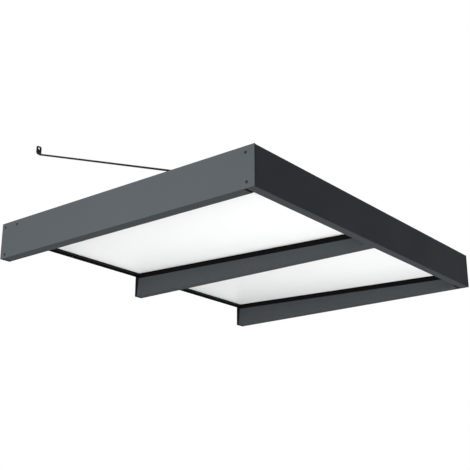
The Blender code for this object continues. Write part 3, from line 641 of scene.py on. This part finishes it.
# %% Screw heads and shanks
SCREW_SIDES = 36
SCREW_RADIUS = 0.0021
SCREW_THREAD_DEPTH = 0.0004
SCREW_PITCH = 0.0014
TIP_RADIUS = SCREW_RADIUS * 0.15
NECK_RADIUS = SCREW_RADIUS * 0.8
NECK_RISE = SCREW_RADIUS * 0.75
SOCKET_RADIUS = 0.0017
SOCKET_DEPTH = 0.0013
SOCKET_CHAMFER = 0.00015
SIDE_HEAD_RADIUS = 0.004
SIDE_HEAD_DEPTH = 0.0022
SIDE_HEAD_EDGE = 0.00015
PAN_HEAD_RADIUS = 0.0034
PAN_HEAD_TOP_RADIUS = 0.0024
PAN_HEAD_HEIGHT = 0.0024
DOME_STEPS = 6


def shank_rings(tip, top):
    """A pointed tip and a threaded shank, from the tip upwards."""
    return [round_ring(TIP_RADIUS, tip), round_ring(NECK_RADIUS, tip + NECK_RISE),
            *thread_rings(tip + SCREW_RADIUS, top, SCREW_RADIUS, SCREW_THREAD_DEPTH, SCREW_PITCH)]


def socket_rings(top):
    """A key recess, from its mouth down to its floor."""
    return [hexagon_ring(SOCKET_RADIUS + SOCKET_CHAMFER, top),
            hexagon_ring(SOCKET_RADIUS, top - SOCKET_CHAMFER),
            hexagon_ring(SOCKET_RADIUS, top - SOCKET_DEPTH)]


def pan_screw(length):
    dome = []
    for step in range(DOME_STEPS + 1):
        turn = math.pi / 2 * step / DOME_STEPS
        dome.append(round_ring(
            PAN_HEAD_TOP_RADIUS + (PAN_HEAD_RADIUS - PAN_HEAD_TOP_RADIUS) * math.cos(turn),
            PAN_HEAD_HEIGHT / 2 * (1 + math.sin(turn))))
    rings = [*shank_rings(-length, 0.0), round_ring(PAN_HEAD_RADIUS, 0.0), *dome,
             *socket_rings(PAN_HEAD_HEIGHT)]
    return extrude_rings(rings, SCREW_SIDES)


def countersunk_screw(length):
    rings = [*shank_rings(-length, -SIDE_HEAD_DEPTH), round_ring(SIDE_HEAD_RADIUS, -SIDE_HEAD_EDGE),
             round_ring(SIDE_HEAD_RADIUS - SIDE_HEAD_EDGE, 0.0), *socket_rings(0.0)]
    return extrude_rings(rings, SCREW_SIDES)


# %% Screws in the side plates
SIDE_SCREW_LENGTH = 0.016
UP = Vector((0.0, 0.0, 1.0))


def turn_to(direction):
    """The turn that lays a shape's own Z along a direction."""
    return UP.rotation_difference(Vector(direction)).to_matrix().to_4x4()


blank = countersunk_screw(SIDE_SCREW_LENGTH)
for node_name in [name for name in nodes if name.startswith("side_screw_")]:
    outwards = 1.0 if node_name.endswith("_right") else -1.0
    head_top = middle_of(node_name)
    head_top.x = outwards * max(abs(corner.x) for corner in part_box(node_name))
    place_copy(blank, node_name, Matrix.Translation(head_top) @ turn_to((outwards, 0.0, 0.0)))
print("faces of a side screw:", len(blank.faces))
blank.free()

# %% [markdown]
# The cover bars follow the fall of the panes, so their screws lean with them. A leaning screw's own middle
# isn't the middle of its box, so its place is worked back from the head's rim, which is what touches the
# box at the top and at the wall side. The solid's head narrows towards its top, to 0.7 of its width.

# %% Screws in the cover bars and the rod brackets
COVER_SCREW_LENGTH = 0.033
BRACKET_SCREW_LENGTH = 0.0075
PANE_SLOPE = math.atan(0.035)
SOLID_HEAD_TOP_SHARE = 0.7
HEAD_CORNER_RADIUS = PAN_HEAD_RADIUS * SOLID_HEAD_TOP_SHARE

blank = pan_screw(COVER_SCREW_LENGTH)
for node_name in [name for name in nodes if name.startswith("cover_screw_")]:
    low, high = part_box(node_name)
    seat = Vector(((low.x + high.x) / 2,
                   high.y - PAN_HEAD_RADIUS * math.cos(PANE_SLOPE),
                   high.z - PAN_HEAD_HEIGHT * math.cos(PANE_SLOPE)
                   - HEAD_CORNER_RADIUS * math.sin(PANE_SLOPE)))
    place_copy(blank, node_name, Matrix.Translation(seat) @ Matrix.Rotation(PANE_SLOPE, 4, "X"))
blank.free()

blank = pan_screw(BRACKET_SCREW_LENGTH)
for node_name in [name for name in nodes if name.startswith("rod_bracket_screw_")]:
    seat = middle_of(node_name)
    seat.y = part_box(node_name)[1].y - PAN_HEAD_HEIGHT
    place_copy(blank, node_name, Matrix.Translation(seat) @ turn_to((0.0, 1.0, 0.0)))
print("faces of a bracket screw:", len(blank.faces))
blank.free()

# %% [markdown]
# ## Bolts and nuts
# A lug is held by an M6 bolt and its nut. The corners of a hexagon head are turned off at 30 degrees, which
# leaves the round arcs that every spanner flat shows. The nut's bore follows the same helix as the bolt, a
# little wider, so that the two threads mesh without touching.

# %% Bolts and nuts
BOLT_SIDES = 48
BOLT_RADIUS = 0.003
BOLT_THREAD_DEPTH = 0.0006
BOLT_PITCH = 0.001
BOLT_TIP_CHAMFER = 0.0006
THREAD_PLAY = 0.0001
SPANNER_WIDTH = 0.010
HEXAGON_CORNER = SPANNER_WIDTH / math.sqrt(3.0)
HEXAGON_RIM = 0.0047
HEXAGON_FALL = math.tan(math.radians(30.0))
BOLT_HEAD_HEIGHT = 0.004


def hexagon_rings(bottom, top):
    """The outside of a spanner hexagon, chamfered at both ends."""
    return [round_ring(HEXAGON_RIM, bottom),
            hexagon_ring(HEXAGON_CORNER, bottom, HEXAGON_RIM, -HEXAGON_FALL),
            hexagon_ring(HEXAGON_CORNER, top, HEXAGON_RIM, HEXAGON_FALL),
            round_ring(HEXAGON_RIM, top)]


def bolt_shape(tip):
    rings = [round_ring(BOLT_RADIUS - BOLT_THREAD_DEPTH, tip),
             *thread_rings(tip + BOLT_TIP_CHAMFER, 0.0, BOLT_RADIUS, BOLT_THREAD_DEPTH, BOLT_PITCH),
             *hexagon_rings(0.0, BOLT_HEAD_HEIGHT)]
    return extrude_rings(rings, BOLT_SIDES)


def nut_shape(bottom, top):
    """A nut as a closed loop of rings: up the outside, and down the threaded bore."""
    bore = BOLT_RADIUS + THREAD_PLAY
    mouth = bore + BOLT_TIP_CHAMFER / 2
    count = round((top - bottom) / BOLT_PITCH * RINGS_PER_TURN)
    inside = [thread_ring(top - (top - bottom) * number / count, bore, BOLT_THREAD_DEPTH, BOLT_PITCH)
              for number in range(1, count)]
    rings = [round_ring(mouth, bottom), *hexagon_rings(bottom, top), round_ring(mouth, top), *inside,
             round_ring(mouth, bottom)]
    bm = extrude_rings(rings, BOLT_SIDES)
    lids = [face for face in bm.faces if len(face.verts) > 4]
    bmesh.ops.delete(bm, geom=lids, context="FACES_ONLY")
    return bm


for side in ("left", "right"):
    bolt_low, bolt_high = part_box("rod_bolt_" + side)
    nut_low, nut_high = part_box("rod_nut_" + side)
    seat = middle_of("rod_bolt_" + side)
    seat.z = bolt_high.z - BOLT_HEAD_HEIGHT
    bolt = bolt_shape(bolt_low.z - seat.z)
    bmesh.ops.translate(bolt, vec=seat, verts=bolt.verts)
    finish_piece(bolt, "rod_bolt_" + side)
    nut = nut_shape(nut_low.z - seat.z, nut_high.z - seat.z)
    bmesh.ops.translate(nut, vec=seat, verts=nut.verts)
    finish_piece(nut, "rod_nut_" + side)
print("bolt length in mm:", round(1000 * (bolt_high.z - bolt_low.z), 1))

# %% [markdown]
# ## Drilled holes
# Rods and brackets have drilled holes. A drill here is a stack of rings as well, a cylinder with a cone at
# each end, so that one Boolean cuts the hole and breaks both of its edges. The result is read back at once,
# and the drills are thrown away.

# %% Drills
HOLE_SIDES = 48
HOLE_EDGE = 0.0004
DRILL_OVERRUN = 0.001


def drill_shape(radius, thickness):
    half = thickness / 2
    wide = radius + HOLE_EDGE + DRILL_OVERRUN
    return extrude_rings([round_ring(wide, -half - DRILL_OVERRUN), round_ring(radius, HOLE_EDGE - half),
                          round_ring(radius, half - HOLE_EDGE), round_ring(wide, half + DRILL_OVERRUN)],
                         HOLE_SIDES)


def helper_object(bm):
    bmesh.ops.recalc_face_normals(bm, faces=bm.faces)
    mesh = bpy.data.meshes.new("helper")
    bm.to_mesh(mesh)
    bm.free()
    helper = bpy.data.objects.new("helper", mesh)
    scene.collection.objects.link(helper)
    return helper


def drilled(bm, drills):
    """Takes drills out of a shape. Each drill is (radius, thickness, middle, direction)."""
    stock = helper_object(bm)
    helpers = [stock]
    for radius, thickness, middle, direction in drills:
        drill = drill_shape(radius, thickness)
        bmesh.ops.transform(drill, matrix=Matrix.Translation(middle) @ turn_to(direction), verts=drill.verts)
        cutter = helper_object(drill)
        helpers.append(cutter)
        cut = stock.modifiers.new("cut", "BOOLEAN")
        cut.operation = "DIFFERENCE"
        cut.solver = "EXACT"
        cut.object = cutter
    bpy.context.view_layer.update()
    result = bmesh.new()
    result.from_object(stock, bpy.context.evaluated_depsgraph_get())
    for helper in helpers:
        mesh = helper.data
        bpy.data.objects.remove(helper, do_unlink=True)
        bpy.data.meshes.remove(mesh)
    return result


# %% [markdown]
# ## Tie rods
# Each rod is a 6 mm round bar. Its ends are heated, pressed flat to lugs with rounded corners, drilled, and
# bent so that one lies on the wall and the other on its bracket. So the path of the rod is laid out first,
# as stations from the wall to the free end. Heights are measured from the wall rail's middle, which lies
# 93.4 mm above the frame's underside.

# %% The rod's path
ORIGIN_HEIGHT = 0.0934
ROD_DIAMETER = 0.006
ROD_HEIGHT_AT_WALL = 0.3875 - ORIGIN_HEIGHT
LUG_WIDTH = 0.0195
LUG_THICKNESS = 0.004
LUG_END_MARGIN = 0.013
LOWER_BEND_BACK = 0.0188

bolt_middle = middle_of("rod_bolt_left")
rod_low, rod_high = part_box("tie_rod_left")
bolt_out = -bolt_middle.y
lug_height = rod_low.z + LUG_THICKNESS / 2
lower_bend_out = bolt_out - LOWER_BEND_BACK
rod_fall = (ROD_HEIGHT_AT_WALL - lug_height) / lower_bend_out
rod_angle = math.atan(rod_fall)
print("the rods fall", round(math.degrees(rod_angle), 2), "degrees towards the front")

# %% [markdown]
# Every station is a row of five values: how far out from the wall it lies, its height, its heading below
# level, how flat the bar is there, and how much is trimmed off each side. At a lug's rounded end the sides
# are trimmed less and less along one corner radius. Between flat and round, the bar changes smoothly.

# %% Stations of the lug ends
LUG_EDGE = 0.001
LUG_CORNER = 0.005
CORNER_STEPS = 7


def blend(first, second, share):
    return first + (second - first) * share


def smooth(share):
    return share * share * (3 - 2 * share)


def corner_stations(out, height, heading, step_out, step_height):
    stations = []
    for step in range(CORNER_STEPS):
        turn = math.pi / 2 * step / CORNER_STEPS
        along = LUG_CORNER * (1 - math.cos(turn))
        stations.append((out + step_out * along, height + step_height * along, heading, 1.0,
                         LUG_CORNER * (1 - math.sin(turn))))
    return stations


# %% [markdown]
# At the wall the lug hangs upright. The bar leaves it in a bend, is half flat by the end of that bend, and
# is round a little further on.

# %% Stations at the wall
BEND_STEPS = 10
UPPER_BEND_RADIUS = 0.009
UPPER_BEND_FLATNESS = 0.5
LUG_TRANSITION = 0.012


def wall_stations():
    wall_out = LUG_THICKNESS / 2
    upper_turn = math.pi / 2 - rod_angle
    bend_top = ROD_HEIGHT_AT_WALL - rod_fall * wall_out + UPPER_BEND_RADIUS * math.tan(upper_turn / 2)
    stations = corner_stations(wall_out, rod_high.z, math.pi / 2, 0.0, -1.0)
    stations.append((wall_out, rod_high.z - LUG_CORNER, math.pi / 2, 1.0, 0.0))
    for step in range(BEND_STEPS + 1):
        share = step / BEND_STEPS
        turned = upper_turn * share
        stations.append((wall_out + UPPER_BEND_RADIUS * (1 - math.cos(turned)),
                         bend_top - UPPER_BEND_RADIUS * math.sin(turned), math.pi / 2 - turned,
                         blend(1.0, UPPER_BEND_FLATNESS, smooth(share)), 0.0))
    out, height = stations[-1][:2]
    for step in range(1, BEND_STEPS + 1):
        share = step / BEND_STEPS
        along = LUG_TRANSITION * share
        stations.append((out + along * math.cos(rod_angle), height - along * math.sin(rod_angle), rod_angle,
                         blend(UPPER_BEND_FLATNESS, 0.0, smooth(share)), 0.0))
    return stations


# %% [markdown]
# At the bracket it is the other way round: the round bar begins to flatten, bends level, and ends in a flat
# lug that lies on the bracket.

# %% Stations at the bracket
LOWER_BEND_RADIUS = 0.020
LOWER_BEND_FLATNESS = 0.6


def bracket_stations():
    stations = []
    tangent = LOWER_BEND_RADIUS * math.tan(rod_angle / 2)
    for step in range(BEND_STEPS):
        share = step / BEND_STEPS
        along = tangent + LUG_TRANSITION * (1 - share)
        stations.append((lower_bend_out - along * math.cos(rod_angle),
                         lug_height + along * math.sin(rod_angle), rod_angle,
                         blend(0.0, LOWER_BEND_FLATNESS, smooth(share)), 0.0))
    for step in range(BEND_STEPS + 1):
        share = step / BEND_STEPS
        heading = rod_angle * (1 - share)
        stations.append((lower_bend_out + tangent - LOWER_BEND_RADIUS * math.sin(heading),
                         lug_height + LOWER_BEND_RADIUS * (1 - math.cos(heading)), heading,
                         blend(LOWER_BEND_FLATNESS, 1.0, smooth(share)), 0.0))
    lug_end = bolt_out + LUG_END_MARGIN
    stations.append((lug_end - LUG_CORNER, lug_height, 0.0, 1.0, 0.0))
    return stations + corner_stations(lug_end, lug_height, 0.0, -1.0, 0.0)[::-1]


stations = wall_stations() + bracket_stations()
print("a rod has", len(stations), "stations")

# %% [markdown]
# Then a straight tube with one ring per station is made, and every ring is laid on its station. A ring is a
# rounded rectangle whose corner radius grows until it is a circle. Its width always lies along the wall.

# %% Rod shapes
ROD_SIDES = 40
WALL_HOLE_RADIUS = 0.004
WALL_HOLE_DROP = 0.0075
BOLT_HOLE_RADIUS = 0.0033


def rod_shape(x):
    bm = extrude_rings([round_ring(1.0, number) for number in range(len(stations))], ROD_SIDES)
    half_step = math.pi / ROD_SIDES
    for vert in bm.verts:
        angle = math.atan2(vert.co.y, vert.co.x) + half_step
        out, height, heading, flatness, trim = stations[round(vert.co.z)]
        corner = blend(ROD_DIAMETER / 2, LUG_EDGE, flatness)
        half_width = blend(ROD_DIAMETER, LUG_WIDTH, flatness) / 2 - trim - corner
        half_thickness = blend(ROD_DIAMETER, LUG_THICKNESS, flatness) / 2 - corner
        along_wall = math.copysign(half_width, math.cos(angle)) + corner * math.cos(angle)
        across = math.copysign(half_thickness, math.sin(angle)) + corner * math.sin(angle)
        vert.co = (x + along_wall, -out - across * math.sin(heading), height + across * math.cos(heading))
    return bm


for side in ("left", "right"):
    rod_x = middle_of("rod_bolt_" + side).x
    wall_hole = (rod_x, -LUG_THICKNESS / 2, rod_high.z - WALL_HOLE_DROP)
    bolt_hole = (rod_x, -bolt_out, lug_height)
    rod = drilled(rod_shape(rod_x), [(WALL_HOLE_RADIUS, LUG_THICKNESS, wall_hole, (0.0, 1.0, 0.0)),
                                     (BOLT_HOLE_RADIUS, LUG_THICKNESS, bolt_hole, (0.0, 0.0, 1.0))])
    piece = finish_piece(rod, "tie_rod_" + side)
    print(piece.name, "has", len(piece.data.polygons), "faces")

# %% [markdown]
# ## Rod brackets
# A bracket is a strip of 3 mm sheet, folded to an angle. It is modelled in the order in which it is made: an
# edge is extruded to a strip, spun round the fold, extruded again, its outer corners are rounded, and only
# then does the strip get its thickness, its broken edges and its holes.

# %% Folded brackets
BRACKET_THICKNESS = 0.003
FOLD_RADIUS = 0.0042
FOLD_STEPS = 8
BRACKET_CORNER = 0.003
BRACKET_CORNER_STEPS = 5
SHEET_EDGE = 0.0004
SHEET_EDGE_STEPS = 2
RIM_ANGLE = math.radians(60.0)
BRACKET_HOLE_RADIUS = 0.0024


def pull_edge(bm, edge, move):
    """Extrudes an edge, moves the new one, and gives it back."""
    moved, rim = grow(bm, [edge])
    bmesh.ops.translate(bm, vec=move, verts=list(moved))
    return rim[0]


def bracket_shape(node_name):
    low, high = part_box(node_name)
    bm = bmesh.new()
    ends = [bm.verts.new((x, high.y, low.z)) for x in (low.x, high.x)]
    edge = pull_edge(bm, bm.edges.new(ends), (0.0, low.y + FOLD_RADIUS - high.y, 0.0))
    fold = bmesh.ops.spin(bm, geom=[edge, *edge.verts], cent=(0.0, low.y + FOLD_RADIUS, low.z + FOLD_RADIUS),
                          axis=(-1.0, 0.0, 0.0), dvec=(0.0, 0.0, 0.0), angle=math.pi / 2,
                          steps=FOLD_STEPS, use_merge=False, use_duplicate=False)
    edge = [part for part in fold["geom_last"] if isinstance(part, bmesh.types.BMEdge)][0]
    pull_edge(bm, edge, (0.0, 0.0, high.z - low.z - FOLD_RADIUS))
    corners = [vert for vert in bm.verts if len(vert.link_faces) == 1]
    bmesh.ops.bevel(bm, geom=corners, affect="VERTICES", offset=BRACKET_CORNER, offset_type="OFFSET",
                    segments=BRACKET_CORNER_STEPS, profile=0.5, material=-1)
    bmesh.ops.recalc_face_normals(bm, faces=bm.faces)
    if bm.faces[0].normal.z > 0:
        bmesh.ops.reverse_faces(bm, faces=bm.faces)
    bmesh.ops.solidify(bm, geom=bm.faces[:], thickness=BRACKET_THICKNESS)
    bmesh.ops.recalc_face_normals(bm, faces=bm.faces)
    rims = [edge for edge in bm.edges if edge.calc_face_angle(0.0) > RIM_ANGLE]
    bmesh.ops.bevel(bm, geom=rims, affect="EDGES", offset=SHEET_EDGE, offset_type="OFFSET",
                    segments=SHEET_EDGE_STEPS, profile=0.5, material=-1, clamp_overlap=True)
    return bm


for side in ("left", "right"):
    node_name = "rod_bracket_" + side
    bracket_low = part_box(node_name)[0]
    bolt_hole = middle_of("rod_bolt_" + side)
    bolt_hole.z = bracket_low.z + BRACKET_THICKNESS / 2
    screw_hole = middle_of("rod_bracket_screw_" + side)
    screw_hole.y = bracket_low.y + BRACKET_THICKNESS / 2
    bracket = drilled(bracket_shape(node_name),
                      [(BOLT_HOLE_RADIUS, BRACKET_THICKNESS, bolt_hole, (0.0, 0.0, 1.0)),
                       (BRACKET_HOLE_RADIUS, BRACKET_THICKNESS, screw_hole, (0.0, 1.0, 0.0))])
    piece = finish_piece(bracket, node_name)
    corners = [Vector(corner) for corner in piece.bound_box]
    print(node_name, "in mm:", [round(1000 * (max(c[k] for c in corners) - min(c[k] for c in corners)), 2)
                                for k in range(3)])

# %% [markdown]
# ## Wall shoes
# Every rafter ends in a moulded plastic shoe that presses on the wall. A mould can't have sharp edges, so a
# welded copy of the solid gets its flat faces joined and its long edges rounded. The rim of the screw hole
# in the outer shoes stays sharp, because it is drilled later.

# %% Moulded shoes
SHOE_ROUNDING = 0.0009
SHOE_ROUNDING_STEPS = 3
SHOE_LONG_EDGE = 0.008
FLAT_ANGLE = math.radians(1.0)


def shoe_shape(node_name):
    bm = bmesh.new()
    bm.from_mesh(nodes[node_name].data)
    bmesh.ops.remove_doubles(bm, verts=bm.verts, dist=WELD)
    bmesh.ops.dissolve_limit(bm, angle_limit=FLAT_ANGLE, verts=bm.verts, edges=bm.edges)
    long_edges = [edge for edge in bm.edges
                  if edge.calc_length() > SHOE_LONG_EDGE and edge.calc_face_angle(0.0) > SHARP_ANGLE]
    bmesh.ops.bevel(bm, geom=long_edges, affect="EDGES", offset=SHOE_ROUNDING, offset_type="OFFSET",
                    segments=SHOE_ROUNDING_STEPS, profile=0.5, material=-1, clamp_overlap=True)
    return bm


for place_name in ("left", "middle", "right"):
    piece = finish_piece(shoe_shape("wall_shoe_" + place_name), "wall_shoe_" + place_name)
    print(piece.name, "has", len(piece.data.polygons), "faces")

# %% [markdown]
# ## Black rubber pads as painted shade at the rafters' front ends
# The outer rafters stop 7 mm behind the sloping web of the front profile, and in the photograph that gap is
# black. A black rubber block fills it as painted shade: it stands in for the shadow in the gap. It is a block
# whose faces lean like the web, because the rafter's end was sawn at the same slope. Its edges are slightly
# broken.

# %% Rafter end pads
WEB_LEAN = 0.768
END_GAP = 0.007
PAD_PLAY = 0.0003
PAD_MARGIN = 0.0004
PAD_TOP = 0.0318
PAD_EDGE = 0.0005
PAD_EDGE_STEPS = 2


def shade_pad_shape(node_name):
    """A leaning block between a rafter's front end and the web, as painted shade in that gap."""
    low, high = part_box(node_name)
    bm = bmesh.new()
    bmesh.ops.create_cube(bm, size=1.0)
    for vert in bm.verts:
        height = PAD_TOP if vert.co.z > 0 else PAD_MARGIN
        forward = END_GAP - PAD_PLAY if vert.co.y < 0 else PAD_PLAY
        x = high.x - PAD_MARGIN if vert.co.x > 0 else low.x + PAD_MARGIN
        vert.co = (x, low.y - forward + WEB_LEAN * height, low.z + height)
    bmesh.ops.bevel(bm, geom=bm.edges[:], affect="EDGES", offset=PAD_EDGE, offset_type="OFFSET",
                    segments=PAD_EDGE_STEPS, profile=0.5, material=-1)
    return bm


# The pads take the blackest rubber, so that the gap shows as painted shade.
for side in ("left", "right"):
    pad = add_piece(shade_pad_shape("rafter_" + side), "rafter_end_shade_pad_" + side, rubber_along_x)
    print(pad.name, "has", len(pad.data.polygons), "faces")
